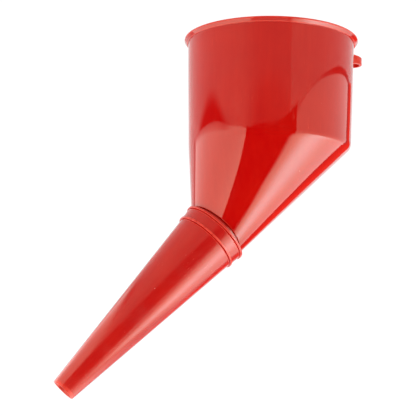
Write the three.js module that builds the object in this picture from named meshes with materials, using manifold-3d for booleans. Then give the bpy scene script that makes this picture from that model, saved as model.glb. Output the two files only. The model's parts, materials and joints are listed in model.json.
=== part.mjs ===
// Offset fuel funnel in three mouldings: a bowl with a slanted outlet neck, a tapered spout that pushes
// on to that neck, and a strainer ring with a gauze disc that drops into the neck from above.
//
// Millimetres, +Z up. The origin is the centre of the spout's mouth, the end that enters a filler neck.
// +X runs from that mouth towards the bowl, and the funnel is symmetrical about the plane Y = 0.
// A "distance" is measured up the spout's axis from the origin; a "drop" is measured down from the
// rim's top face.

import * as THREE from "three";
import { mergeVertices } from "three/addons/utils/BufferGeometryUtils.js";
import Module from "manifold-3d";

const wasm = await Module();
wasm.setup();

// Driving dimensions.
const SEGMENTS = 64; // facets round every circular piece
const SPOUT_TILT = THREE.MathUtils.degToRad(43.5); // spout's axis from the vertical
const WALL = 1.8; // bowl's and spout's wall
const FIT_GAP = 0.3; // clearance wherever one piece sits in another

const RIM_RADIUS = 80; // outside of the rim
const RIM_HEIGHT = 4;
const RIM_ROUND = 1.3; // radius of the rim's two outer edges
const BOWL_TOP_RADIUS = 76.6; // bowl's outside under the rim
const BOWL_EDGE_RADIUS = 74.1; // bowl's outside where the slanted part begins
const BOWL_EDGE_DROP = 99.5;
const BOWL_EDGE_ROUND = 3.5; // how far the rounding reaches from that edge

const OUTLET_RADIUS = 28.5; // bowl's outside where the slanted part meets the neck
const OUTLET_DROP = 180; // to the outlet's centre
const OUTLET_OFFSET = 51.2; // outlet's centre from the bowl's axis
const NECK_LENGTH = 13;
const NECK_TAPER = 0.4; // radius lost along the neck

const SPOUT_LENGTH = 192; // spout's mouth to the outlet's centre
const MOUTH_RADIUS = 10.6; // spout's outside at its mouth
const MOUTH_WALL = 1.6;
const MOUTH_CHAMFER = 0.3;
const SPOUT_HEAD_RADIUS = 29.1; // spout's outside just under the foot bead
const LIP_RADIUS = 31.9; // bead at the socket's mouth
const FOOT_BEAD_RADIUS = 30.5; // bead at the socket's foot
const BEAD_HEIGHT = 1.9;
const BEAD_CHAMFER = 0.5;
const SOCKET_TOP_RADIUS = 30.7; // socket's outside under the lip
const SOCKET_FOOT_RADIUS = 29.6; // socket's outside above the foot bead
const LIP_SETBACK = 1.5; // lip's top face below the outlet's centre
const LEAD_IN = 0.9; // flare at the socket's mouth

const LEDGE_WIDTH = 2.4; // ledge in the neck that the strainer stands on
const LEDGE_HEIGHT = 2;
const STRAINER_HEIGHT = 4;
const STRAINER_WIDTH = 2.6; // ring's radial width
const GAUZE_THICKNESS = 0.6;
const TAB_WIDTH = 9; // finger tab that stands on the strainer ring
const TAB_HEIGHT = 7;
const TAB_THICKNESS = 1.5;

const LOOP_WIDTH = 18; // hanging loop, across Y
const LOOP_REACH = 18; // from the bowl's wall to the loop's round end
const LOOP_WALL = 2;
const LOOP_FOOT_DROP = 13;
const LOOP_END_DROP = 6.2; // loop's top edge at its round end
const LOOP_ROUND = 1.5; // rounding of that edge

// Derived sizes.
const AXIS = new THREE.Vector3(Math.sin(SPOUT_TILT), 0, Math.cos(SPOUT_TILT));
const ACROSS = new THREE.Vector3(Math.cos(SPOUT_TILT), 0, -Math.sin(SPOUT_TILT));
const OUTLET = AXIS.clone().multiplyScalar(SPOUT_LENGTH);
const BOWL_X = OUTLET.x + OUTLET_OFFSET; // bowl's own axis is the vertical through this
const RIM_Z = OUTLET.z + OUTLET_DROP;
const NECK_END = SPOUT_LENGTH - NECK_LENGTH; // distance
const NECK_BORE = OUTLET_RADIUS - NECK_TAPER - WALL; // radius
const LEDGE_TOP = NECK_END + LEDGE_HEIGHT; // distance
const SOCKET_FLOOR = NECK_END - FIT_GAP; // distance
const STRAINER_RADIUS = NECK_BORE - FIT_GAP;
const STRAINER_BORE = STRAINER_RADIUS - STRAINER_WIDTH; // radius
const STRAINER_FOOT = LEDGE_TOP + FIT_GAP; // distance
const STRAINER_MIDDLE = STRAINER_FOOT + STRAINER_HEIGHT / 2; // distance
const GROOVE_DEPTH = STRAINER_WIDTH / 2;

const RED_PLASTIC = { color: 0xc8140f, roughness: 0.28, metalness: 0 };
const BRASS = { color: 0xb08d4a, roughness: 0.35, metalness: 1 };

// A ring of points, one for each facet, from the cosine and sine of its angle.
function ringOf(pointAt) {
  return Array.from({ length: SEGMENTS }, (_, i) => {
    const angle = (2 * Math.PI * i) / SEGMENTS;
    return pointAt(Math.cos(angle), Math.sin(angle));
  });
}

// A horizontal ring about the bowl's axis.
function levelRing(radius, drop) {
  return ringOf((c, s) => new THREE.Vector3(BOWL_X + radius * c, radius * s, RIM_Z - drop));
}

// A ring square to the spout's axis.
function slantRing(radius, distance) {
  const centre = AXIS.clone().multiplyScalar(distance);
  return ringOf((c, s) => {
    const point = centre.clone().addScaledVector(ACROSS, radius * c);
    point.y = radius * s;
    return point;
  });
}

// Rings part of the way along the straight lines from one ring to another.
function ringsBetween(from, to) {
  const steps = 5;
  return Array.from({ length: steps - 1 }, (_, k) =>
    from.map((point, i) => point.clone().lerp(to[i], (k + 1) / steps)),
  );
}

// Rings that round off the edge at a corner ring, between the wall before it and the wall after it.
function roundedRings(before, corner, after) {
  const steps = 4;
  const startAt = (from, to) => {
    const direction = to.clone().sub(from).normalize();
    return from.clone().addScaledVector(direction, BOWL_EDGE_ROUND);
  };
  const curves = corner.map(
    (point, i) =>
      new THREE.QuadraticBezierCurve3(startAt(point, before[i]), point, startAt(point, after[i])),
  );
  return Array.from({ length: steps + 1 }, (_, k) => curves.map((curve) => curve.getPoint(k / steps)));
}

// The rim's outside, over its rounded top edge and round its bottom edge.
function rimRings() {
  const steps = 3;
  const quarter = (centreDrop, startAngle) =>
    Array.from({ length: steps + 1 }, (_, k) => {
      const angle = startAngle - (k / steps) * (Math.PI / 2);
      const radius = RIM_RADIUS - RIM_ROUND + RIM_ROUND * Math.cos(angle);
      return levelRing(radius, centreDrop - RIM_ROUND * Math.sin(angle));
    });
  return [...quarter(RIM_ROUND, Math.PI / 2), ...quarter(RIM_HEIGHT - RIM_ROUND, 0)];
}

// A closed surface through rings, each joined to the next and the last to the first.
function closedShell(rings) {
  const index = [];
  for (let r = 0; r < rings.length; r++) {
    const here = r * SEGMENTS;
    const there = ((r + 1) % rings.length) * SEGMENTS;
    for (let i = 0; i < SEGMENTS; i++) {
      const next = (i + 1) % SEGMENTS;
      index.push(here + i, there + i, here + next);
      index.push(here + next, there + i, there + next);
    }
  }
  const positions = rings.flat().flatMap((point) => point.toArray());
  const geometry = new THREE.BufferGeometry();
  geometry.setAttribute("position", new THREE.Float32BufferAttribute(positions, 3));
  geometry.setIndex(index);
  return geometry;
}

// A round piece standing on the local Z axis, from its closed profile of [radius, distance].
function turned(profile) {
  const points = [...profile, profile[0]].map(([radius, distance]) => new THREE.Vector2(radius, distance));
  return new THREE.LatheGeometry(points, SEGMENTS).rotateX(Math.PI / 2);
}

function toSolid(geometry) {
  const bare = geometry.clone();
  bare.deleteAttribute("normal");
  bare.deleteAttribute("uv");
  const merged = mergeVertices(bare, 1e-3);
  const mesh = new wasm.Mesh({
    numProp: 3,
    vertProperties: merged.attributes.position.array,
    triVerts: new Uint32Array(merged.index.array),
  });
  return new wasm.Manifold(mesh);
}

function toGeometry(solid) {
  const mesh = solid.getMesh();
  const geometry = new THREE.BufferGeometry();
  geometry.setAttribute("position", new THREE.BufferAttribute(mesh.vertProperties, 3));
  geometry.setIndex(new THREE.BufferAttribute(mesh.triVerts, 1));
  geometry.computeVertexNormals();
  return geometry;
}

// Bowl's wall: rim, straight part, slanted part and outlet neck, down the outside and up the inside.
function bowlShell() {
  const raise = 0.4 * WALL; // lifts the inside's edges so that the slanted wall keeps its thickness
  const outerTop = levelRing(BOWL_TOP_RADIUS, RIM_HEIGHT);
  const outerEdge = levelRing(BOWL_EDGE_RADIUS, BOWL_EDGE_DROP);
  const outerOutlet = slantRing(OUTLET_RADIUS, SPOUT_LENGTH);
  const innerOutlet = slantRing(OUTLET_RADIUS - WALL, SPOUT_LENGTH + raise);
  const innerEdge = levelRing(BOWL_EDGE_RADIUS - WALL, BOWL_EDGE_DROP - raise);
  const innerTop = levelRing(BOWL_TOP_RADIUS - WALL, 0);
  return closedShell([
    ...rimRings(),
    outerTop,
    ...roundedRings(outerTop, outerEdge, outerOutlet),
    ...ringsBetween(outerEdge, outerOutlet),
    outerOutlet,
    slantRing(OUTLET_RADIUS - NECK_TAPER, NECK_END),
    slantRing(NECK_BORE - LEDGE_WIDTH, NECK_END),
    slantRing(NECK_BORE - LEDGE_WIDTH, LEDGE_TOP),
    slantRing(NECK_BORE, LEDGE_TOP),
    innerOutlet,
    ...ringsBetween(innerOutlet, innerEdge),
    ...roundedRings(innerOutlet, innerEdge, innerTop),
    innerTop,
  ]);
}

// The loop seen from above: a U whose legs end inside the bowl's wall.
function loopPlan(root) {
  const half = LOOP_WIDTH / 2;
  const eye = half - LOOP_WALL;
  const bendX = BOWL_TOP_RADIUS + LOOP_REACH - half;
  const plan = new THREE.Shape();
  plan.moveTo(root, -half);
  plan.lineTo(bendX, -half);
  plan.absarc(bendX, 0, half, -Math.PI / 2, Math.PI / 2, false);
  plan.lineTo(root, half);
  plan.lineTo(root, eye);
  plan.lineTo(bendX, eye);
  plan.absarc(bendX, 0, eye, Math.PI / 2, -Math.PI / 2, true);
  plan.lineTo(root, -eye);
  return plan;
}

// The loop seen from the side: level underneath, with its top falling away from the rim.
function loopSide(root) {
  const end = BOWL_TOP_RADIUS + LOOP_REACH;
  const past = 1; // beyond the plan, so that the cut leaves no sliver
  const top = -RIM_HEIGHT + 0.1; // just inside the rim
  const side = new THREE.Shape();
  side.moveTo(root, -LOOP_FOOT_DROP);
  side.lineTo(end + past, -LOOP_FOOT_DROP);
  side.lineTo(end + past, -LOOP_END_DROP - LOOP_ROUND);
  side.quadraticCurveTo(end, -LOOP_END_DROP, end - 2 * LOOP_ROUND, -LOOP_END_DROP + 0.2 * LOOP_ROUND);
  side.lineTo(RIM_RADIUS - RIM_ROUND, top);
  side.lineTo(root, top);
  return side;
}

function loopSolid() {
  const root = BOWL_TOP_RADIUS - WALL / 2 - FIT_GAP;
  const curveSegments = 10;
  const plan = new THREE.ExtrudeGeometry(loopPlan(root), {
    depth: LOOP_FOOT_DROP,
    bevelEnabled: false,
    curveSegments,
  }).translate(BOWL_X, 0, RIM_Z - LOOP_FOOT_DROP);
  const side = new THREE.ExtrudeGeometry(loopSide(root), {
    depth: LOOP_WIDTH + 2,
    bevelEnabled: false,
    curveSegments,
  });
  side.rotateX(Math.PI / 2).translate(BOWL_X, LOOP_WIDTH / 2 + 1, RIM_Z);
  return toSolid(plan).intersect(toSolid(side));
}

function bowlGeometry() {
  return toGeometry(toSolid(bowlShell()).add(loopSolid()));
}

// Tapered tube with a socket at its head, a lip bead at the socket's mouth and a bead at its foot.
function spoutGeometry() {
  const lipTop = SPOUT_LENGTH - LIP_SETBACK;
  const lipFoot = lipTop - BEAD_HEIGHT;
  const beadFoot = SOCKET_FLOOR - BEAD_HEIGHT;
  const socketBore = OUTLET_RADIUS + FIT_GAP;
  return turned([
    [MOUTH_RADIUS - MOUTH_WALL, 0],
    [MOUTH_RADIUS - MOUTH_CHAMFER, 0],
    [MOUTH_RADIUS, MOUTH_CHAMFER],
    [SPOUT_HEAD_RADIUS, beadFoot],
    [FOOT_BEAD_RADIUS - BEAD_CHAMFER, beadFoot],
    [FOOT_BEAD_RADIUS, beadFoot + BEAD_CHAMFER],
    [FOOT_BEAD_RADIUS, SOCKET_FLOOR - BEAD_CHAMFER],
    [FOOT_BEAD_RADIUS - BEAD_CHAMFER, SOCKET_FLOOR],
    [SOCKET_FOOT_RADIUS, SOCKET_FLOOR],
    [SOCKET_TOP_RADIUS, lipFoot],
    [LIP_RADIUS - BEAD_CHAMFER, lipFoot],
    [LIP_RADIUS, lipFoot + BEAD_CHAMFER],
    [LIP_RADIUS, lipTop - BEAD_CHAMFER],
    [LIP_RADIUS - BEAD_CHAMFER, lipTop],
    [socketBore + LEAD_IN, lipTop],
    [socketBore, lipTop - 2 * LEAD_IN],
    [socketBore - NECK_TAPER, SOCKET_FLOOR],
    [SPOUT_HEAD_RADIUS - WALL, SOCKET_FLOOR],
  ]);
}

// Strainer ring with a groove round its bore that holds the gauze's edge.
function strainerRing() {
  const head = STRAINER_FOOT + STRAINER_HEIGHT;
  const grooveHalf = GAUZE_THICKNESS / 2 + FIT_GAP;
  return turned([
    [STRAINER_BORE, STRAINER_FOOT],
    [STRAINER_RADIUS, STRAINER_FOOT],
    [STRAINER_RADIUS, head],
    [STRAINER_BORE, head],
    [STRAINER_BORE, STRAINER_MIDDLE + grooveHalf],
    [STRAINER_BORE + GROOVE_DEPTH, STRAINER_MIDDLE + grooveHalf],
    [STRAINER_BORE + GROOVE_DEPTH, STRAINER_MIDDLE - grooveHalf],
    [STRAINER_BORE, STRAINER_MIDDLE - grooveHalf],
  ]);
}

// Round-topped tab that stands on the ring with its root sunk into it, on the side away from the loop.
function strainerTab() {
  const half = TAB_WIDTH / 2;
  const sunk = 1;
  const outline = new THREE.Shape();
  outline.moveTo(-half, -sunk);
  outline.lineTo(half, -sunk);
  outline.lineTo(half, TAB_HEIGHT - half);
  outline.absarc(0, TAB_HEIGHT - half, half, 0, Math.PI, false);
  const tab = new THREE.ExtrudeGeometry(outline, {
    depth: TAB_THICKNESS,
    bevelEnabled: false,
    curveSegments: 8,
  });
  const outerFace = STRAINER_RADIUS - 0.6; // keeps the tab's flat face inside the ring's outside
  tab.rotateX(Math.PI / 2).translate(0, outerFace, STRAINER_FOOT + STRAINER_HEIGHT);
  return tab.rotateZ(Math.PI / 2);
}

function strainerRingGeometry() {
  return toGeometry(toSolid(strainerRing()).add(toSolid(strainerTab())));
}

function gauzeGeometry() {
  const radius = STRAINER_BORE + GROOVE_DEPTH - FIT_GAP;
  return new THREE.CylinderGeometry(radius, radius, GAUZE_THICKNESS, SEGMENTS)
    .rotateX(Math.PI / 2)
    .translate(0, 0, STRAINER_MIDDLE);
}

function piece(name, geometry, finish) {
  const mesh = new THREE.Mesh(geometry, new THREE.MeshStandardMaterial(finish));
  mesh.name = name;
  return mesh;
}

// The pieces that lie on the spout's axis share one tilted group.
const alongSpout = new THREE.Group();
alongSpout.rotation.y = SPOUT_TILT;
alongSpout.add(
  piece("spout", spoutGeometry(), RED_PLASTIC),
  piece("strainer_ring", strainerRingGeometry(), RED_PLASTIC),
  piece("strainer_gauze", gauzeGeometry(), BRASS),
);

const funnel = new THREE.Group();
funnel.add(piece("bowl", bowlGeometry(), RED_PLASTIC), alongSpout);

export default funnel;
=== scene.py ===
"""Looks of the offset fuel funnel: fine moulded surfaces, woven gauze, red plastic and a light tent."""

import json
import math

import bmesh
import bpy
import numpy as np
from mathutils import Matrix, Vector


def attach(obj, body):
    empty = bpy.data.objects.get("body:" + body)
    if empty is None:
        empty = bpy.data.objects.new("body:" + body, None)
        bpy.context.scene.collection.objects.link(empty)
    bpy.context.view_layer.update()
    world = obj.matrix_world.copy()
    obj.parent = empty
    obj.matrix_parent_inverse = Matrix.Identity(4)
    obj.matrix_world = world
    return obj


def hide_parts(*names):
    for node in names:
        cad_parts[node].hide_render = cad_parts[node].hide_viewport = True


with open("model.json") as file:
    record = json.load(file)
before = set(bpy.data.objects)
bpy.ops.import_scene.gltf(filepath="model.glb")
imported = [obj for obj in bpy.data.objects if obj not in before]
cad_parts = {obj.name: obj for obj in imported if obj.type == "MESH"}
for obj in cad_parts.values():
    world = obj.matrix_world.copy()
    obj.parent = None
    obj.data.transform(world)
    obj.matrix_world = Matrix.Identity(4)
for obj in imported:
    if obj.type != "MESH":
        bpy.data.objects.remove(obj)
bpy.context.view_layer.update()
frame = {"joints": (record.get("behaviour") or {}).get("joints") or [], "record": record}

MM = 0.001
record = frame["record"]
mounts = {mount["name"]: mount for mount in record["mounts"]}
joints = {joint["name"]: joint for joint in frame["joints"]}

# The spout's axis, and the direction square to it that runs towards the hanging loop.
AXIS = np.array(joints["bowl_pull"]["axis"])
ACROSS = np.array([AXIS[2], 0.0, -AXIS[0]])
SIDEWAYS = np.array([0.0, 1.0, 0.0])
BOWL_X = mounts["mouth_rim"]["pos_m"][0]
RIM_Z = mounts["mouth_rim"]["pos_m"][2]

SEGMENTS = 256  # steps round every round piece
WALL = 1.8 * MM
FIT_GAP = 0.3 * MM

RIM_RADIUS = 80 * MM
RIM_HEIGHT = 4.0 * MM
RIM_BAND = 1.2 * MM
RIM_CHAMFER = 2.3 * MM
BOWL_TOP_RADIUS = 76.6 * MM
BOWL_EDGE_RADIUS = 74.1 * MM
BOWL_EDGE_DROP = 99.5 * MM

OUTLET_RADIUS = 28.5 * MM
NECK_LENGTH = 13 * MM
NECK_TAPER = 0.4 * MM
NECK_BORE = OUTLET_RADIUS - NECK_TAPER - WALL
SHOULDER_STEP = 0.6 * MM
INNER_RISE = 1.4 * MM  # how far up the inside the cone starts

SPOUT_LENGTH = 192 * MM
NECK_END = SPOUT_LENGTH - NECK_LENGTH
MOUTH_RADIUS = 10.6 * MM
MOUTH_WALL = 1.6 * MM
SPOUT_HEAD_RADIUS = 29.1 * MM
LIP_RADIUS = 31.9 * MM
FOOT_BEAD_RADIUS = 30.5 * MM
BEAD_HEIGHT = 1.9 * MM
SOCKET_TOP_RADIUS = 30.7 * MM
SOCKET_FOOT_RADIUS = 29.6 * MM
LIP_SETBACK = 0.3 * MM
LIP_CHAMFER = 2.2 * MM
GROOVE_DEPTH = 0.5 * MM
SOCKET_FLOOR = NECK_END - FIT_GAP

LEDGE_WIDTH = 2.4 * MM
LEDGE_TOP = NECK_END + 2 * MM
STRAINER_HEIGHT = 4 * MM
STRAINER_WIDTH = 2.6 * MM
STRAINER_RADIUS = NECK_BORE - FIT_GAP
STRAINER_BORE = STRAINER_RADIUS - STRAINER_WIDTH
STRAINER_FOOT = LEDGE_TOP + FIT_GAP
STRAINER_MIDDLE = STRAINER_FOOT + STRAINER_HEIGHT / 2

angles = np.linspace(0.0, 2.0 * math.pi, SEGMENTS, endpoint=False)
COS, SIN = np.cos(angles), np.sin(angles)


# ---------------------------------------------------------------- mesh helpers


def level_ring(radius, drop):
    """A horizontal ring about the bowl's axis, a drop below the rim's top face."""
    height = np.full(SEGMENTS, RIM_Z - drop)
    return np.stack([BOWL_X + radius * COS, radius * SIN, height], axis=1)


def slant_ring(radius, distance):
    """A ring square to the spout's axis, a distance up it from the spout's mouth."""
    spokes = np.outer(COS, ACROSS) + np.outer(SIN, SIDEWAYS)
    return AXIS * distance + radius * spokes


def unit(rows):
    """Each row, scaled to a length of one."""
    return rows / np.linalg.norm(rows, axis=1, keepdims=True)


def rounded(corners, steps=6):
    """Rings that run round the closed section given by its corner rings, with each corner rounded off.

    Each corner is (ring, reach): the rounding starts and ends that far from the corner.
    """
    rings = []
    for k, (ring, reach) in enumerate(corners):
        before = corners[k - 1][0]
        after = corners[(k + 1) % len(corners)][0]
        start = ring + reach * unit(before - ring)
        end = ring + reach * unit(after - ring)
        for t in np.linspace(0.0, 1.0, steps + 1):
            rings.append((1 - t) ** 2 * start + 2 * t * (1 - t) * ring + t**2 * end)
    return rings


def with_support(rings, longest=4 * MM, margin=0.35 * MM):
    """Adds rings on the long stretches, and one close to each end of them, so that they shade flat."""
    out = []
    for k, ring in enumerate(rings):
        after = rings[(k + 1) % len(rings)]
        out.append(ring)
        length = np.linalg.norm(after - ring, axis=1).max()
        if length < 3 * margin:
            continue
        share = margin / length
        count = max(1, int(length / longest))
        inner = np.linspace(share, 1.0 - share, count + 1)
        out.extend(ring + t * (after - ring) for t in inner)
    return out


def mesh_object(name, points, faces, material):
    """A smooth-shaded piece with its faces pointing out."""
    mesh = bpy.data.meshes.new(name)
    mesh.from_pydata([tuple(p) for p in points], [], [tuple(f) for f in faces])
    work = bmesh.new()
    work.from_mesh(mesh)
    bmesh.ops.recalc_face_normals(work, faces=work.faces)
    work.to_mesh(mesh)
    work.free()
    mesh.polygons.foreach_set("use_smooth", [True] * len(mesh.polygons))
    mesh.materials.append(material)
    piece = bpy.data.objects.new(name, mesh)
    bpy.context.scene.collection.objects.link(piece)
    return piece


def shell(name, rings, material):
    """A closed piece through rings, each joined to the next and the last to the first."""
    faces = []
    for r in range(len(rings)):
        here, there = r * SEGMENTS, ((r + 1) % len(rings)) * SEGMENTS
        for i in range(SEGMENTS):
            j = (i + 1) % SEGMENTS
            faces.append((here + i, there + i, there + j, here + j))
    return mesh_object(name, np.concatenate(rings), faces, material)


def sharpen(mesh, limit=math.radians(35)):
    """Marks the edges that turn by more than the limit as sharp, so that smooth shading stops there."""
    normals = [Vector(p.normal) for p in mesh.polygons]
    beside = {}
    for polygon in mesh.polygons:
        for key in polygon.edge_keys:
            beside.setdefault(key, []).append(polygon.index)
    for edge in mesh.edges:
        faces = beside.get(edge.key, [])
        edge.use_edge_sharp = len(faces) == 2 and normals[faces[0]].angle(normals[faces[1]], 0.0) > limit


def mark_edges(piece, tightest=0.8 * MM, mouth_reach=4 * MM, mouth_wear_and_glow=0.9):
    """Stores how far each point of a mesh is lightened, from 0 to 1, as its edge attribute: partly wear,
    partly painted glow.

    It is 1 where the surface bends outwards at the tightest radius, which paints the glow of light through
    thin edges and the highlight lines of the beads, and it rises at the spout's mouth, whose lip is worn
    by being pushed into one filler neck after another and is also painted as glowing with light shining
    through it.
    """
    mesh = piece.data
    points = np.empty(len(mesh.vertices) * 3)
    normals = np.empty(len(mesh.vertices) * 3)
    ends = np.empty(len(mesh.edges) * 2, dtype=int)
    mesh.vertices.foreach_get("co", points)
    mesh.vertices.foreach_get("normal", normals)
    mesh.edges.foreach_get("vertices", ends)
    points, normals, ends = points.reshape(-1, 3), normals.reshape(-1, 3), ends.reshape(-1, 2)
    step = points[ends[:, 1]] - points[ends[:, 0]]
    turn = normals[ends[:, 1]] - normals[ends[:, 0]]
    bend = np.sum(step * turn, axis=1) / np.maximum(np.sum(step * step, axis=1), 1e-12)
    worst = np.zeros(len(points))
    for column in (0, 1):
        np.maximum.at(worst, ends[:, column], bend)
    # The lip at the spout's mouth is lightened: partly wear, partly painted glow of light through the thin
    # lip.
    mouth = np.clip(1.0 - points @ AXIS / mouth_reach, 0.0, mouth_wear_and_glow)
    share = np.maximum(np.clip(worst * tightest, 0.0, 1.0), mouth)
    layer = mesh.attributes.new("edge", "FLOAT", "POINT")
    layer.data.foreach_set("value", share)


def unite(target, tool):
    """Joins tool to target as one closed surface and removes tool."""
    modifier = target.modifiers.new("union", "BOOLEAN")
    modifier.operation = "UNION"
    modifier.solver = "EXACT"
    modifier.object = tool
    bpy.context.view_layer.update()
    evaluated = target.evaluated_get(bpy.context.evaluated_depsgraph_get())
    joined = bpy.data.meshes.new_from_object(evaluated)
    target.modifiers.clear()
    target.data = joined
    bpy.data.objects.remove(tool)
    sharpen(joined)


def bar_faces(first, loops, count):
    """The faces of a closed bar through a number of loops of count points each, from point first on."""
    faces = []
    for k in range(loops - 1):
        a, b = first + k * count, first + (k + 1) * count
        for i in range(count):
            j = (i + 1) % count
            faces.append((a + i, b + i, b + j, a + j))
    faces.append(tuple(first + i for i in range(count)))
    last = first + (loops - 1) * count
    faces.append(tuple(last + i for i in reversed(range(count))))
    return faces


def sweep(name, path, section, material):
    """A closed bar along path. section(k) gives the loop of points round path point k."""
    loops = [section(k) for k in range(len(path))]
    faces = bar_faces(0, len(loops), len(loops[0]))
    return mesh_object(name, np.concatenate(loops), faces, material)


def soft_rectangle(half_wide, half_tall, soft, steps):
    """Points (across, up) round a rectangle whose corners are rounded off by the radius soft."""
    points = []
    for side, rise, start in ((1, 1, 0), (-1, 1, 90), (-1, -1, 180), (1, -1, 270)):
        for step in range(steps + 1):
            a = math.radians(start + 90 * step / steps)
            across = side * (half_wide - soft) + soft * math.cos(a)
            up = rise * (half_tall - soft) + soft * math.sin(a)
            points.append((across, up))
    return points


def ripple(angle, along, size):
    """The slow unevenness of a moulded wall as it cools: a few waves round it and along it."""
    wave = np.zeros(SEGMENTS)
    for share, laps, climb, start in ((1.0, 3, 18, 0.4), (0.6, 7, -47, 2.1), (0.35, 13, 95, 4.0)):
        wave = wave + share * np.sin(laps * angle + climb * along + start)
    return size * wave


# ---------------------------------------------------------------- pieces


def bowl_rings():
    """Rings round the bowl's section: down the outside from the rim to the neck, and up the inside."""
    edge = level_ring(BOWL_EDGE_RADIUS, BOWL_EDGE_DROP)
    outlet = slant_ring(OUTLET_RADIUS, SPOUT_LENGTH)
    # The cone stops short of the spout's lip, at a shoulder that is lowest under the loop and highest at
    # the funnel's two sides.
    least, tilt, bulge = 0.2 * MM, 0.5 * MM, 2.2 * MM
    rise = least + tilt * (1 - COS) + bulge * SIN**2
    lift = np.outer(rise, AXIS)
    share = rise / ((edge - outlet) @ AXIS)
    shoulder = outlet + share[:, None] * (edge - outlet)
    neck_top = slant_ring(OUTLET_RADIUS - SHOULDER_STEP, SPOUT_LENGTH) + lift
    inner_outlet = slant_ring(OUTLET_RADIUS - WALL, SPOUT_LENGTH + INNER_RISE) + lift
    inner_edge = level_ring(BOWL_EDGE_RADIUS - WALL, BOWL_EDGE_DROP - 0.4 * WALL)
    corners = [
        (level_ring(RIM_RADIUS, 0), 0.7 * MM),
        (level_ring(RIM_RADIUS, RIM_BAND), 0.4 * MM),
        (level_ring(RIM_RADIUS - RIM_CHAMFER, RIM_HEIGHT), 0.4 * MM),
        (level_ring(BOWL_TOP_RADIUS, RIM_HEIGHT), 0.4 * MM),
        (edge, 3.5 * MM),
        (shoulder, 0.3 * MM),
        (neck_top, 0.25 * MM),
        (slant_ring(OUTLET_RADIUS - NECK_TAPER, NECK_END), 0.6 * MM),
        (slant_ring(NECK_BORE - LEDGE_WIDTH, NECK_END), 0.5 * MM),
        (slant_ring(NECK_BORE - LEDGE_WIDTH, LEDGE_TOP), 0.4 * MM),
        (slant_ring(NECK_BORE, LEDGE_TOP), 0.3 * MM),
        (inner_outlet, 2.0 * MM),
        (inner_edge, 3.5 * MM),
        (level_ring(BOWL_TOP_RADIUS - WALL, 0), 0.6 * MM),
    ]
    return with_support(rounded(corners))


def uneven_bowl(ring):
    """Moves a ring's points in and out a little, but not at the rim or in the neck."""
    even_rim, rim_fade, neck_fade, depth = 6 * MM, 25 * MM, 30 * MM, 0.07 * MM
    drop = RIM_Z - ring[:, 2]
    above_neck = ring @ AXIS - SPOUT_LENGTH
    fade = np.clip((drop - even_rim) / rim_fade, 0, 1) * np.clip(above_neck / neck_fade, 0, 1)
    outward = np.stack([ring[:, 0] - BOWL_X, ring[:, 1], np.zeros(SEGMENTS)], axis=1)
    shift = fade * ripple(angles, drop, depth)
    return ring + unit(outward) * shift[:, None]


def hanging_loop(material):
    """The U-shaped loop under the rim, from one leg round to the other, with softened edges."""
    half, wall, reach, soft = 8 * MM, 2.3 * MM, 16.4 * MM, 0.5 * MM
    sunk = 1.2 * MM
    root = BOWL_TOP_RADIUS - sunk
    bend = BOWL_TOP_RADIUS + reach - half
    foot, start_drop, end_drop = 13 * MM, RIM_HEIGHT - 0.2 * MM, 6.2 * MM
    turn = np.linspace(-math.pi / 2, math.pi / 2, 25)
    leg = np.linspace(root, bend, 9)[:-1]
    path = [((x, -half), (0.0, -1.0)) for x in leg]
    path += [((bend + half * math.cos(t), half * math.sin(t)), (math.cos(t), math.sin(t))) for t in turn]
    path += [((x, half), (0.0, 1.0)) for x in reversed(leg)]
    tip = bend + half + wall / 2
    slope_start = RIM_RADIUS - 1.3 * MM
    slope_run = tip - RIM_RADIUS - 1.5 * MM
    corner_reach, corner_drop = 2.2 * MM, 1.2 * MM

    def top_drop(x):
        """How far the loop's top edge lies below the rim: it slopes down, and curves off at the tip."""
        slope = np.clip((x - slope_start) / slope_run, 0.0, 1.0)
        corner = max(0.0, x - (tip - corner_reach)) / corner_reach
        return start_drop + slope * (end_drop - RIM_HEIGHT) + corner_drop * corner**2

    def section(k):
        (x, y), (nx, ny) = path[k]
        top = top_drop(x + nx * wall / 2)
        middle, half_tall = (foot + top) / 2, (foot - top) / 2
        points = []
        for across, up in soft_rectangle(wall / 2, half_tall, soft, 4):
            points.append((BOWL_X + x + nx * across, y + ny * across, RIM_Z - middle + up))
        return np.array(points)

    return sweep("hanging_loop", path, section, material)


def bowl(material):
    """The bowl with its rim, cone and neck, and the loop joined to it."""
    piece = shell("bowl_moulding", [uneven_bowl(ring) for ring in bowl_rings()], material)
    unite(piece, hanging_loop(material))
    return piece


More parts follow.
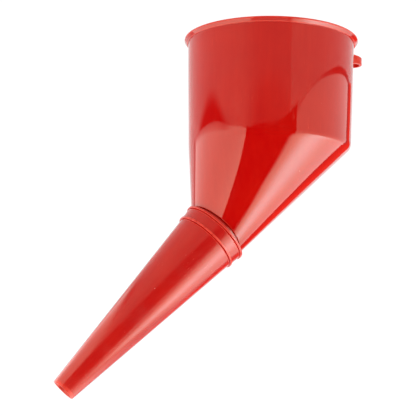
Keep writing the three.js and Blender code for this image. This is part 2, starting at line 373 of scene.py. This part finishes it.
def spout(material):
    """The spout with its socket and beads.

    Each point of its section is (radius, distance up the axis, how far the corner is rounded off).
    """
    lip_top = SPOUT_LENGTH - LIP_SETBACK
    lip_foot = lip_top - BEAD_HEIGHT
    bead_top = SOCKET_FLOOR + 1.2 * MM
    bead_foot = bead_top - BEAD_HEIGHT
    bore = OUTLET_RADIUS + FIT_GAP
    groove = 0.9 * MM
    under_bead = SPOUT_HEAD_RADIUS - groove * (SPOUT_HEAD_RADIUS - MOUTH_RADIUS) / bead_foot
    profile = [
        (MOUTH_RADIUS - MOUTH_WALL, 3.0 * MM, 0.3 * MM),
        (MOUTH_RADIUS - 0.7 * MM, 0, 0.15 * MM),
        (MOUTH_RADIUS, 0, 0.25 * MM),
        (under_bead, bead_foot - groove, 0.15 * MM),
        (SPOUT_HEAD_RADIUS - GROOVE_DEPTH, bead_foot, 0.1 * MM),
        (FOOT_BEAD_RADIUS, bead_foot, 0.45 * MM),
        (FOOT_BEAD_RADIUS, bead_top, 0.45 * MM),
        (SOCKET_FOOT_RADIUS, bead_top, 0.3 * MM),
        (SOCKET_TOP_RADIUS, lip_foot - groove, 0.15 * MM),
        (SOCKET_TOP_RADIUS - GROOVE_DEPTH, lip_foot, 0.1 * MM),
        (LIP_RADIUS, lip_foot, 0.45 * MM),
        (LIP_RADIUS, lip_top, 0.4 * MM),
        (bore + LIP_CHAMFER, lip_top, 0.3 * MM),
        (bore, lip_top - 1.4 * LIP_CHAMFER, 0.5 * MM),
        (bore - NECK_TAPER, SOCKET_FLOOR, 0.3 * MM),
        (SPOUT_HEAD_RADIUS - WALL, SOCKET_FLOOR, 0.4 * MM),
    ]
    corners = [(slant_ring(radius, distance), reach) for radius, distance, reach in profile]
    rings = with_support(rounded(corners))
    return shell("spout_moulding", rings, material)


def strainer_ring(material):
    """The ring that drops into the neck, with a groove inside for the gauze, and its finger tab."""
    head = STRAINER_FOOT + STRAINER_HEIGHT
    groove = STRAINER_BORE + STRAINER_WIDTH / 2
    groove_foot = STRAINER_MIDDLE - 0.6 * MM
    groove_head = STRAINER_MIDDLE + 0.6 * MM
    profile = [
        (STRAINER_BORE, STRAINER_FOOT, 0.3 * MM),
        (STRAINER_RADIUS, STRAINER_FOOT, 0.5 * MM),
        (STRAINER_RADIUS, head, 0.5 * MM),
        (STRAINER_BORE, head, 0.5 * MM),
        (STRAINER_BORE, groove_head, 0.2 * MM),
        (groove, groove_head, 0.1 * MM),
        (groove, groove_foot, 0.1 * MM),
        (STRAINER_BORE, groove_foot, 0.2 * MM),
    ]
    corners = [(slant_ring(radius, distance), reach) for radius, distance, reach in profile]
    piece = shell("strainer_moulding", with_support(rounded(corners, steps=4)), material)
    unite(piece, finger_tab(material))
    return piece


def finger_tab(material):
    """Round-topped tab on the strainer ring, on the side away from the loop, swept up from its root."""
    wide, thick, tall = 9 * MM, 1.5 * MM, 7 * MM
    head = STRAINER_FOOT + STRAINER_HEIGHT
    outer = STRAINER_RADIUS - 0.6 * MM
    straight = tall - wide / 2
    rises = [-1 * MM, 0.0, straight / 2]
    rises += [straight + wide / 2 * math.sin(t) for t in np.linspace(0, math.radians(82), 14)]

    def section(k):
        above = max(0.0, rises[k] - straight)
        half = math.sqrt(max((wide / 2) ** 2 - above**2, 1e-10))
        soft = min(0.4 * MM, 0.45 * half)
        points = []
        for y, out in soft_rectangle(half, thick / 2, soft, 3):
            spoke = outer - thick / 2 + out
            points.append(AXIS * (head + rises[k]) - ACROSS * spoke + SIDEWAYS * y)
        return np.array(points)

    return sweep("finger_tab", rises, section, material)


def gauze(material):
    """Plain-woven wire cloth: two sets of waved round wires that pass over and under each other.

    wire is a wire's radius, and the wave's height is a little less, so that crossing wires touch.
    """
    pitch, wire = 1.25 * MM, 0.2 * MM
    wave = 0.98 * wire
    radius = STRAINER_BORE + STRAINER_WIDTH / 2 - FIT_GAP
    sides, per_pitch = 6, 4
    points, faces = [], []
    reach = int(radius / pitch)
    for way, (along, aside) in enumerate(((ACROSS, SIDEWAYS), (SIDEWAYS, ACROSS))):
        for row in range(-reach, reach + 1):
            offset = row * pitch
            half = math.sqrt(radius**2 - offset**2)
            steps = max(4, int(2 * half / pitch * per_pitch))
            run = np.linspace(-half, half, steps + 1)
            sign = 1 if (row + way) % 2 else -1
            rise = sign * wave * np.cos(math.pi * run / pitch)
            faces += bar_faces(len(points), steps + 1, sides)
            for x, z in zip(run, rise):
                centre = AXIS * (STRAINER_MIDDLE + z) + along * x + aside * offset
                for s in range(sides):
                    a = 2 * math.pi * s / sides
                    points.append(centre + wire * (aside * math.cos(a) + AXIS * math.sin(a)))
    return mesh_object("strainer_cloth", points, faces, material)


# ---------------------------------------------------------------- materials


class Nodes:
    """A material's node tree, with a short method for each kind of node that the materials use."""

    def __init__(self, name):
        self.material = bpy.data.materials.new(name)
        self.material.use_nodes = True
        self.tree = self.material.node_tree
        self.shader = self.tree.nodes["Principled BSDF"]

    def add(self, kind, **settings):
        node = self.tree.nodes.new(kind)
        for key, value in settings.items():
            setattr(node, key, value)
        return node

    def link(self, source, target):
        self.tree.links.new(source, target)

    def places(self, stretch=(1.0, 1.0, 1.0), turn=(0.0, 0.0, 0.0)):
        """Object coordinates in metres, turned and then scaled along each axis."""
        coordinates = self.add("ShaderNodeTexCoord").outputs["Object"]
        turned = self.add("ShaderNodeMapping")
        turned.inputs["Rotation"].default_value = turn
        self.link(coordinates, turned.inputs["Vector"])
        scaled = self.add("ShaderNodeMapping")
        scaled.inputs["Scale"].default_value = stretch
        self.link(turned.outputs["Vector"], scaled.inputs["Vector"])
        return scaled.outputs["Vector"]

    def noise(self, places, scale, detail=2.0, rough=0.5):
        """Cloudy noise. scale is its number of cells to the metre."""
        node = self.add("ShaderNodeTexNoise")
        node.inputs["Scale"].default_value = scale
        node.inputs["Detail"].default_value = detail
        node.inputs["Roughness"].default_value = rough
        self.link(places, node.inputs["Vector"])
        return node.outputs["Fac"]

    def ranged(self, value, low, high, out_low=0.0, out_high=1.0):
        """Maps low..high smoothly onto out_low..out_high."""
        node = self.add("ShaderNodeMapRange", interpolation_type="SMOOTHSTEP")
        limits = {"From Min": low, "From Max": high, "To Min": out_low, "To Max": out_high}
        for socket, number in limits.items():
            node.inputs[socket].default_value = number
        self.link(value, node.inputs["Value"])
        return node.outputs["Result"]

    def math(self, operation, first, second):
        """One sum. Each value is a socket or a number."""
        node = self.add("ShaderNodeMath", operation=operation)
        for socket, value in zip(node.inputs, (first, second)):
            if isinstance(value, (int, float)):
                socket.default_value = value
            else:
                self.link(value, socket)
        return node.outputs["Value"]

    def blend(self, share, first, second):
        """Mixes two colours, each a socket or a plain (r, g, b)."""
        node = self.add("ShaderNodeMix", data_type="RGBA")
        self.link(share, node.inputs["Factor"])
        for socket, colour in ((node.inputs[6], first), (node.inputs[7], second)):
            if isinstance(colour, tuple):
                socket.default_value = (*colour, 1.0)
            else:
                self.link(colour, socket)
        return node.outputs[2]

    def specks(self, places, scale, size, share):
        """Round dots in a few of the cells of a Voronoi pattern: 1 inside a dot."""
        cells = self.add("ShaderNodeTexVoronoi")
        cells.inputs["Scale"].default_value = scale
        self.link(places, cells.inputs["Vector"])
        near = self.ranged(cells.outputs["Distance"], size, size * 0.4)
        chosen = self.add("ShaderNodeSeparateColor")
        self.link(cells.outputs["Color"], chosen.inputs["Color"])
        return self.math("MULTIPLY", near, self.math("LESS_THAN", chosen.outputs["Red"], share))

    def bump(self, height, depth, below=None):
        """A normal that tilts with height, where 1 stands depth metres above 0, on top of another bump."""
        node = self.add("ShaderNodeBump")
        node.inputs["Distance"].default_value = depth
        self.link(height, node.inputs["Height"])
        if below is not None:
            self.link(below, node.inputs["Normal"])
        return node.outputs["Normal"]


DEEP_RED = (0.485, 0.0008, 0.0012)
WARM_RED = (0.530, 0.0042, 0.0020)
# Lighter red for scratches and chafed edges, and also for the painted glow of thin edges, beads and the
# lip.
WORN_AND_GLOW_RED = (0.860, 0.040, 0.018)
DUST = (0.80, 0.42, 0.36)
BRIGHT_BRASS = (0.78, 0.55, 0.23)
DULL_BRASS = (0.40, 0.25, 0.10)
WARM_GLOSS = (1.0, 0.91, 0.68, 1.0)  # what the plastic's mirror image is tinted by


def red_plastic(name, gloss, haze, grain, tilt):
    """Moulded red polypropylene. tilt turns the streaks of its flow from upright towards +X.

    gloss is the roughness of clean plastic, haze what scuffing adds to it in patches, and grain the
    depth of the fine unevenness of its skin.
    """
    nodes = Nodes(name)
    shader = nodes.shader
    turn = (0.0, -tilt, 0.0)
    plain = nodes.places()
    along = nodes.places((1.0, 1.0, 0.07), turn)
    hairline = nodes.places((1.0, 1.0, 0.018), turn)

    # Slow clouds, and streaks along the plastic's flow, shift the red between its two tones.
    clouds = nodes.noise(plain, scale=22, detail=3.0, rough=0.55)
    streaks = nodes.noise(along, scale=260, detail=3.0, rough=0.6)
    tone = nodes.math("ADD", nodes.math("MULTIPLY", clouds, 0.65), nodes.math("MULTIPLY", streaks, 0.35))
    colour = nodes.blend(nodes.ranged(tone, 0.34, 0.66), DEEP_RED, WARM_RED)

    # Hairline scratches show only in some patches.
    patches = nodes.ranged(nodes.noise(plain, scale=34), 0.50, 0.68)
    scratches = nodes.ranged(nodes.noise(hairline, scale=2300, detail=1.0, rough=0.4), 0.70, 0.76)
    scratches = nodes.math("MULTIPLY", scratches, patches)
    colour = nodes.blend(nodes.math("MULTIPLY", scratches, 0.30), colour, WORN_AND_GLOW_RED)

    # A few specks of dust stick to the surface.
    specks = nodes.specks(plain, scale=170, size=0.065, share=0.05)
    colour = nodes.blend(nodes.math("MULTIPLY", specks, 0.75), colour, DUST)

    # Edges are lighter, unevenly: partly chafing, partly painted glow and highlight lines on thin edges
    # and beads.
    edge = nodes.add("ShaderNodeAttribute", attribute_name="edge").outputs["Fac"]
    edge_patches = nodes.ranged(nodes.noise(plain, scale=240, detail=4.0, rough=0.65), 0.30, 0.62, 0.35, 1.0)
    wear_and_glow = nodes.math("MULTIPLY", nodes.ranged(edge, 0.10, 0.85), edge_patches)
    colour = nodes.blend(nodes.math("MULTIPLY", wear_and_glow, 0.62), colour, WORN_AND_GLOW_RED)
    nodes.link(colour, shader.inputs["Base Color"])

    # Smears, scratches, worn edges and dust each take away some of the gloss.
    smears = nodes.noise(plain, scale=55, detail=4.0, rough=0.6)
    roughness = nodes.math("ADD", nodes.ranged(smears, 0.42, 0.74, 0.0, haze), gloss)
    for mark, dulling in ((scratches, 0.22), (wear_and_glow, 0.16), (specks, 0.4)):
        roughness = nodes.math("ADD", roughness, nodes.math("MULTIPLY", mark, dulling))
    nodes.link(roughness, shader.inputs["Roughness"])

    # The skin has a fine grain, finer flow lines, sunk scratches and raised specks.
    skin = nodes.bump(nodes.noise(plain, scale=420, detail=3.0), grain)
    skin = nodes.bump(nodes.noise(along, scale=900), grain * 0.25, skin)
    skin = nodes.bump(scratches, -0.004 * MM, skin)
    skin = nodes.bump(specks, 0.03 * MM, skin)
    nodes.link(skin, shader.inputs["Normal"])
    shader.inputs["Specular Tint"].default_value = WARM_GLOSS
    return nodes.material


def brass(name):
    """Drawn brass wire, dulled in patches by fuel."""
    nodes = Nodes(name)
    plain = nodes.places()
    tarnish = nodes.ranged(nodes.noise(plain, scale=160, detail=4.0, rough=0.6), 0.40, 0.66)
    colour = nodes.blend(tarnish, BRIGHT_BRASS, DULL_BRASS)
    drawn = nodes.bump(nodes.noise(plain, scale=4000), 0.01 * MM)
    nodes.link(colour, nodes.shader.inputs["Base Color"])
    nodes.link(nodes.ranged(tarnish, 0.0, 1.0, 0.22, 0.5), nodes.shader.inputs["Roughness"])
    nodes.link(drawn, nodes.shader.inputs["Normal"])
    nodes.shader.inputs["Metallic"].default_value = 1.0
    return nodes.material


# ---------------------------------------------------------------- assembly

SPOUT_TILT = math.atan2(AXIS[0], AXIS[2])
bowl_red = red_plastic("red_bowl", gloss=0.03, haze=0.05, grain=0.0015 * MM, tilt=0.0)
spout_red = red_plastic("red_spout", gloss=0.17, haze=0.07, grain=0.015 * MM, tilt=SPOUT_TILT)
parts = [
    (bowl(bowl_red), "bowl", "bowl", "red_plastic"),
    (spout(spout_red), "spout", "spout", "red_plastic"),
    (strainer_ring(spout_red), "strainer", "strainer_ring", "red_plastic"),
    (gauze(brass("brass_wire")), "strainer", "strainer_gauze", "brass_gauze"),
]
for piece, body, node, slot in parts:
    mark_edges(piece)
    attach(piece, body)
    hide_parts(node)


# ---------------------------------------------------------------- studio


def camera():
    """Looks at the funnel from the spout's side, a little below the bowl and slightly upwards."""
    data = bpy.data.cameras.new("camera")
    data.sensor_width = 36.0
    data.lens = 89.43
    data.clip_end = 100.0  # past the backdrop
    data.dof.use_dof = False
    holder = bpy.data.objects.new("camera", data)
    bpy.context.scene.collection.objects.link(holder)
    from_rim = Vector((-0.3750, -0.8564, -0.2719))
    yaw, pitch, roll = (math.radians(a) for a in (-20.28, 7.05, 1.24))
    forward = Vector((-math.sin(yaw) * math.cos(pitch), math.cos(yaw) * math.cos(pitch), math.sin(pitch)))
    right = forward.cross(Vector((0, 0, 1))).normalized()
    up = right.cross(forward)
    level_right = math.cos(roll) * right + math.sin(roll) * up
    level_up = -math.sin(roll) * right + math.cos(roll) * up
    turn = Matrix((level_right, level_up, -forward)).transposed()
    place = Vector((BOWL_X, 0, RIM_Z)) + from_rim
    holder.matrix_world = Matrix.Translation(place) @ turn.to_4x4()
    bpy.context.scene.camera = holder


# The light tent's walls stand on a floor below the funnel. Directions are degrees round +Z from -Y,
# positive towards +X, and distances are in metres from the upright line through TENT_CENTRE. In the
# walls' functions u is the place beside the wall's middle and z the height, both in metres.
TENT_CENTRE = Vector((0.16, 0.0, 0.0))
FLOOR_Z = -0.45
WALL_STEPS = 48
WHITE = (1.0, 1.0, 1.0)
CARD_RED = (1.0, 0.09, 0.06)
HOT_BLUE = (0.86, 1.02, 1.20)
HOT_FROM, HOT_TO = 4.5, 7.5  # the brightness from which light turns blue, and where it is fully so
BLACK_CARD = 0.02  # the brightness of a black card


def smooth(value):
    """A soft step: 0 up to 0, 1 from 1 on."""
    t = np.clip(value, 0.0, 1.0)
    return t * t * (3 - 2 * t)


def hump(value, centre, width):
    """A soft hump: 1 at the centre, and 0.37 a width away from it."""
    return math.exp(-(((value - centre) / width) ** 2))


def around(direction):
    """The level unit vector that points in a direction of the tent."""
    a = math.radians(direction)
    return Vector((math.sin(a), -math.cos(a), 0.0))


def glowing(name, colour):
    """A material that shines in a colour, as strongly as its mesh's glow attribute says.

    Where it is brightest it turns bluish.
    """
    material = bpy.data.materials.new(name)
    material.use_nodes = True
    tree = material.node_tree
    tree.nodes.clear()
    level = tree.nodes.new("ShaderNodeAttribute")
    level.attribute_name = "glow"
    hot = tree.nodes.new("ShaderNodeMapRange")
    hot.inputs["From Min"].default_value = HOT_FROM
    hot.inputs["From Max"].default_value = HOT_TO
    tint = tree.nodes.new("ShaderNodeMix")
    tint.data_type = "RGBA"
    tint.inputs[6].default_value = (*colour, 1.0)
    tint.inputs[7].default_value = (*HOT_BLUE, 1.0)
    shine = tree.nodes.new("ShaderNodeEmission")
    out = tree.nodes.new("ShaderNodeOutputMaterial")
    tree.links.new(level.outputs["Fac"], hot.inputs["Value"])
    tree.links.new(hot.outputs["Result"], tint.inputs["Factor"])
    tree.links.new(tint.outputs[2], shine.inputs["Color"])
    tree.links.new(level.outputs["Fac"], shine.inputs["Strength"])
    tree.links.new(shine.outputs["Emission"], out.inputs["Surface"])
    return material


def mirrored(name, points, faces, levels, colour=WHITE):
    """A sheet of the tent, with a brightness for each point, that is only mirrored in the funnel."""
    mesh = bpy.data.meshes.new(name)
    mesh.from_pydata(points, [], faces)
    layer = mesh.attributes.new("glow", "FLOAT", "POINT")
    layer.data.foreach_set("value", levels)
    mesh.materials.append(glowing(name, colour))
    panel = bpy.data.objects.new(name, mesh)
    bpy.context.scene.collection.objects.link(panel)
    panel.visible_camera = False
    panel.visible_shadow = False
    panel.visible_diffuse = False


def upright(name, feet, top, glow, bottom, colour=WHITE):
    """A mirrored sheet that stands over a line on the ground.

    feet lists the line's (place, x, y). top(place) is the sheet's height there and glow(place, z) its
    brightness.
    """
    points, levels, faces = [], [], []
    for place, x, y in feet:
        for j in range(WALL_STEPS + 1):
            z = bottom + (top(place) - bottom) * j / WALL_STEPS
            points.append((x, y, z))
            levels.append(float(glow(place, z)))
    row = WALL_STEPS + 1
    for i in range(len(feet) - 1):
        for j in range(WALL_STEPS):
            k = i * row + j
            faces.append((k, k + row, k + row + 1, k + 1))
    mirrored(name, points, faces, levels, colour)


def wall(name, direction, distance, across, top, glow, bottom=FLOOR_Z, colour=WHITE):
    """A flat sheet square to its direction, from place across[0] to across[1]."""
    foot = TENT_CENTRE + around(direction) * distance
    sideways = around(direction + 90)
    feet = []
    for u in np.linspace(across[0], across[1], WALL_STEPS + 1):
        point = foot + sideways * float(u)
        feet.append((float(u), point.x, point.y))
    upright(name, feet, top, glow, bottom, colour)


def left_wall():
    """The bright wall beside the spout, the wing that slopes off it, its dim edge and its dark crest."""
    direction, distance, behind = -110.7, 0.307, 0.31

    def top(u):
        return 0.279 + 0.020 * smooth((u - 0.15) / 0.40)

    def glow(u, z):
        level = 2.65 + 0.9 * smooth((0.2 - z) / 0.2)
        soft_top = 0.7 * smooth((0.27 - u) / 0.12) * smooth((z - top(u) + 0.016) / 0.016)
        return level * (1 - soft_top)

    def wing_top(u):
        return max(0.06 - 1.1 * (u - 0.505), -0.055 - 0.56 * (u - 0.61))

    def crest_top(u):
        return 0.287 + 0.038 * hump(u, 0.03, 0.125)

    def crest_glow(u, z):
        return 0.08 + 0.9 * smooth((z - crest_top(u) + 0.026) / 0.026)

    wall("left_wall", direction, distance, (-0.205, 0.505), top, glow)
    wall("left_wing", direction, distance, (0.505, 1.2), wing_top, glow)
    wall("left_edge", direction, behind, (-0.27, -0.19), lambda u: 0.28, lambda u, z: 0.6)
    wall("left_crest", direction, behind, (-0.12, 0.24), crest_top, crest_glow, bottom=0.27)


def right_wall():
    """The wall on the loop's side, brightest low down, and the darker crest that edges its top."""
    direction, distance, behind = 66.8, 0.653, 0.66

    def top(u):
        return 0.392 + 0.063 * max(0.0, u + 0.45) ** 2

    def glow(u, z):
        upper = 1.6 + 0.35 * smooth((0.3 - z) / 0.15)
        lower = 1.45 * smooth((u + 1.0) / 0.6) + 4.9 * hump(u, -0.2, 0.32)
        return upper + lower * smooth((0.10 - z) / 0.16)

    def crest_top(u):
        return top(u) + 0.008 + 0.005 * smooth((u + 0.1) / 0.3)

    def crest_glow(u, z):
        return 0.14 + 0.8 * smooth((0.05 - u) / 0.5)

    wall("right_wall", direction, distance, (-1.0, 0.54), top, glow)
    wall("right_crest", direction, behind, (-0.5, 0.70), crest_top, crest_glow)


def low_arc():
    """The brightest light: a curved sheet low down in front and to the right, mirrored in the slopes."""
    first, last, fade_in = 8.5, 100.0, 8.5
    radius, top, bottom = 0.30, 0.14, -0.30

    def glow(direction, z):
        level = 2.6 + 6.0 * hump(direction, 44, 20) + 1.3 * hump(direction, 70, 20)
        low = 0.35 + 0.65 * smooth((z + 0.33) / 0.18)
        return max(BLACK_CARD, level * smooth((direction - first) / fade_in) * low)

    feet = []
    for direction in np.linspace(first, last, 2 * WALL_STEPS + 1):
        point = TENT_CENTRE + around(direction) * radius
        feet.append((float(direction), point.x, point.y))
    upright("low_arc", feet, lambda direction: top, glow, bottom)


def bright_ground():
    """A bright disc just above the floor, mirrored in what faces down, such as the rim's chamfer."""
    radius, height = 0.45, FLOOR_Z + 0.01
    middle_glow, edge_glow = 6.0, 2.0
    count = 2 * WALL_STEPS
    middle = Vector((BOWL_X, 0.0, height))
    rim = [middle + around(360 * k / count) * radius for k in range(count)]
    faces = [(0, 1 + k, 1 + (k + 1) % count) for k in range(count)]
    mirrored("bright_ground", [middle, *rim], faces, [middle_glow] + [edge_glow] * count)


def cards():
    """The dark gap between the two walls in front, the dimmer cloth above it, and a red card behind."""

    def front_top(u):
        middle = 0.3145 + 0.003 * smooth((u + 0.15) / 0.2)
        return middle + 0.22 * max(0.0, u) ** 2 + 0.007 * smooth((-0.26 - u) / 0.10)

    def cloth_glow(u, z):
        middle = 0.35 + 0.33 * smooth((z - 0.46) / 0.1)
        return middle + (1.0 - middle) * smooth(-u / 0.8)

    def back_top(u):
        return 0.48 if u < -0.1 else 0.4 - 2.2 * (u + 0.1)

    wall("front_card", -23.0, 0.62, (-0.62, 0.47), front_top, lambda u, z: BLACK_CARD)
    wall("front_cloth", -32.0, 1.3, (-0.8, 0.97), lambda u: 2.6, cloth_glow, bottom=0.3)
    wall("back_card", 128.0, 0.9, (-0.31, 0.28), back_top, lambda u, z: 1.2, colour=CARD_RED)


def soft_light(name, direction, height, distance, side, power):
    """A square area light that shades the funnel softly, aimed at its middle, and isn't mirrored in it."""
    aim_height = 0.18
    data = bpy.data.lights.new(name, "AREA")
    data.shape = "SQUARE"
    data.size = side
    data.energy = power
    lamp = bpy.data.objects.new(name, data)
    bpy.context.scene.collection.objects.link(lamp)
    place = TENT_CENTRE + around(direction) * distance
    place.z = height
    aim = Vector((*TENT_CENTRE.xy, aim_height))
    lamp.location = place
    lamp.rotation_euler = (place - aim).to_track_quat("Z", "Y").to_euler()
    lamp.visible_glossy = False
    lamp.visible_camera = False


def floor():
    """A pale floor that sweeps up into a pale backdrop, all round the funnel."""
    flat, bend, height = 6.0, 2.0, 9.0
    count = 96
    profile = [(flat * k / 3, 0.0) for k in range(4)]
    for t in np.linspace(0, math.pi / 2, 13)[1:]:
        profile.append((flat + bend * math.sin(t), bend - bend * math.cos(t)))
    profile.append((flat + bend, height))
    points, faces = [], []
    for radius, rise in profile:
        for i in range(count):
            a = 2 * math.pi * i / count
            points.append((radius * math.cos(a), radius * math.sin(a), FLOOR_Z + rise))
    for r in range(len(profile) - 1):
        for i in range(count):
            j = (i + 1) % count
            faces.append((r * count + i, r * count + j, (r + 1) * count + j, (r + 1) * count + i))
    mesh = bpy.data.meshes.new("floor")
    mesh.from_pydata(points, [], faces)
    mesh.polygons.foreach_set("use_smooth", [True] * len(faces))
    nodes = Nodes("pale_floor")
    nodes.shader.inputs["Base Color"].default_value = (0.8, 0.8, 0.8, 1.0)
    nodes.shader.inputs["Roughness"].default_value = 0.9
    nodes.shader.inputs["Emission Color"].default_value = (1.0, 1.0, 1.0, 1.0)
    nodes.shader.inputs["Emission Strength"].default_value = 0.23
    mesh.materials.append(nodes.material)
    ground = bpy.data.objects.new("floor", mesh)
    bpy.context.scene.collection.objects.link(ground)


def sky():
    """Plain white light from all round."""
    world = bpy.data.worlds.new("tent")
    world.use_nodes = True
    background = world.node_tree.nodes["Background"]
    background.inputs["Color"].default_value = (1.0, 1.0, 1.0, 1.0)
    background.inputs["Strength"].default_value = 1.0
    bpy.context.scene.world = world


camera()
left_wall()
right_wall()
low_arc()
bright_ground()
cards()
soft_light("key", direction=66.8, height=-0.2, distance=0.66, side=0.8, power=1.35)
soft_light("fill", direction=-110.7, height=0.1, distance=0.45, side=0.6, power=0.4)
soft_light("back", direction=120.0, height=-0.36, distance=0.55, side=0.5, power=3.0)
soft_light("front", direction=-60.0, height=-0.15, distance=0.5, side=0.4, power=0.4)
floor()
sky()
bpy.context.scene.view_settings.view_transform = "Standard"
